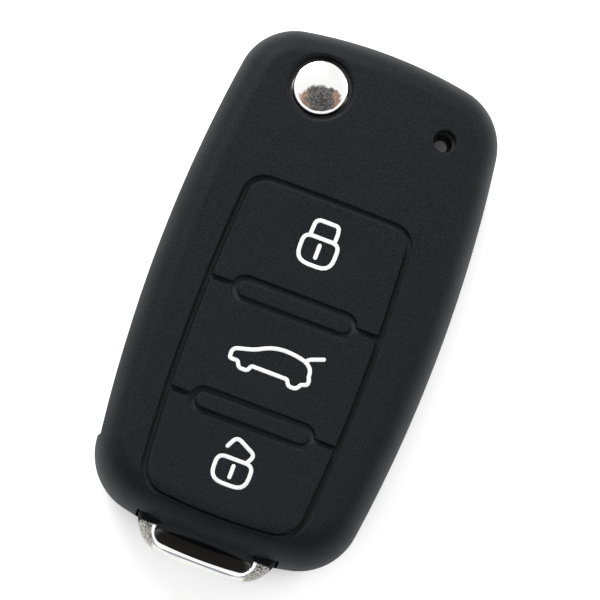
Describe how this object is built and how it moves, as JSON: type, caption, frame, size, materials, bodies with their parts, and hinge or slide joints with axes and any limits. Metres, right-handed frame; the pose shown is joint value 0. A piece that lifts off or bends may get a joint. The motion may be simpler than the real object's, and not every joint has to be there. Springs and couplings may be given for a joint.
{
  "type": "folding car key in a silicone key fob cover",
  "caption": "Black silicone key fob cover over a folding car key: swing-out blade, chrome release button, three press pads, lamp hole and metal key ring loop.",
  "frame": {"origin": "middle of the cover's flat back, the face that it lies on", "axes": "+X to the right seen from the button face, +Y along the cover towards the end with the pivot, +Z out of the button face"},
  "size_m": [0.0435, 0.0804, 0.0183],
  "materials": {
    "silicone_black": "matte_satin",
    "case_plastic": "satin",
    "key_rubber": "matte",
    "board_laminate": "satin",
    "switch_steel": "satin",
    "cell_steel": "polished",
    "spring_bronze": "satin",
    "led_resin": "gloss",
    "guide_acrylic": "gloss",
    "chip_epoxy": "matte",
    "coil_ferrite": "matte",
    "blade_nickel": "satin",
    "hub_zinc": "satin",
    "spring_steel": "satin",
    "button_chrome": "chrome",
    "loop_steel": "polished"
  },
  "bodies": {
    "cover": {"sleeve": "silicone_black", "upper_case": "case_plastic", "lower_case": "case_plastic", "battery_door": "case_plastic", "keypad_mat": "key_rubber", "circuit_board": "board_laminate", "lock_switch": "switch_steel", "boot_switch": "switch_steel", "unlock_switch": "switch_steel", "coin_cell": "cell_steel", "cell_clip_plus": "spring_bronze", "cell_clip_minus": "spring_bronze", "indicator_led": "led_resin", "light_guide": "guide_acrylic", "radio_chip": "chip_epoxy", "crystal": "switch_steel", "transponder_coil": "coil_ferrite", "flip_spring": "spring_steel", "pivot_pin": "hub_zinc", "ring_loop": "loop_steel", "case_screw": "spring_steel"},
    "blade": {"key_blade": "blade_nickel", "blade_hub": "hub_zinc", "blade_pin": "hub_zinc"},
    "release": {"release_button": "button_chrome"},
    "lock": {"lock_pad": "silicone_black", "lock_key": "key_rubber"},
    "boot": {"boot_pad": "silicone_black", "boot_key": "key_rubber"},
    "unlock": {"unlock_pad": "silicone_black", "unlock_key": "key_rubber"}
  },
  "joints": [
    {"name": "blade_swing", "type": "hinge", "parent": "cover", "child": "blade", "pos_m": [-0.0076, 0.0291, 0.009], "axis": [0, 0, -1], "range_deg": [0, 180]},
    {"name": "release_press", "type": "slide", "parent": "cover", "child": "release", "axis": [0, 0, -1], "range_m": [0, 0.0012], "stiffness_N_per_m": 1500, "springref_m": -0.0008, "deforming": ["flip_spring"]},
    {"name": "lock_press", "type": "slide", "parent": "cover", "child": "lock", "axis": [0, 0, -1], "range_m": [0, 0.0005], "stiffness_N_per_m": 3000, "springref_m": -0.0002},
    {"name": "boot_press", "type": "slide", "parent": "cover", "child": "boot", "axis": [0, 0, -1], "range_m": [0, 0.0005], "stiffness_N_per_m": 3000, "springref_m": -0.0002},
    {"name": "unlock_press", "type": "slide", "parent": "cover", "child": "unlock", "axis": [0, 0, -1], "range_m": [0, 0.0005], "stiffness_N_per_m": 3000, "springref_m": -0.0002}
  ]
}
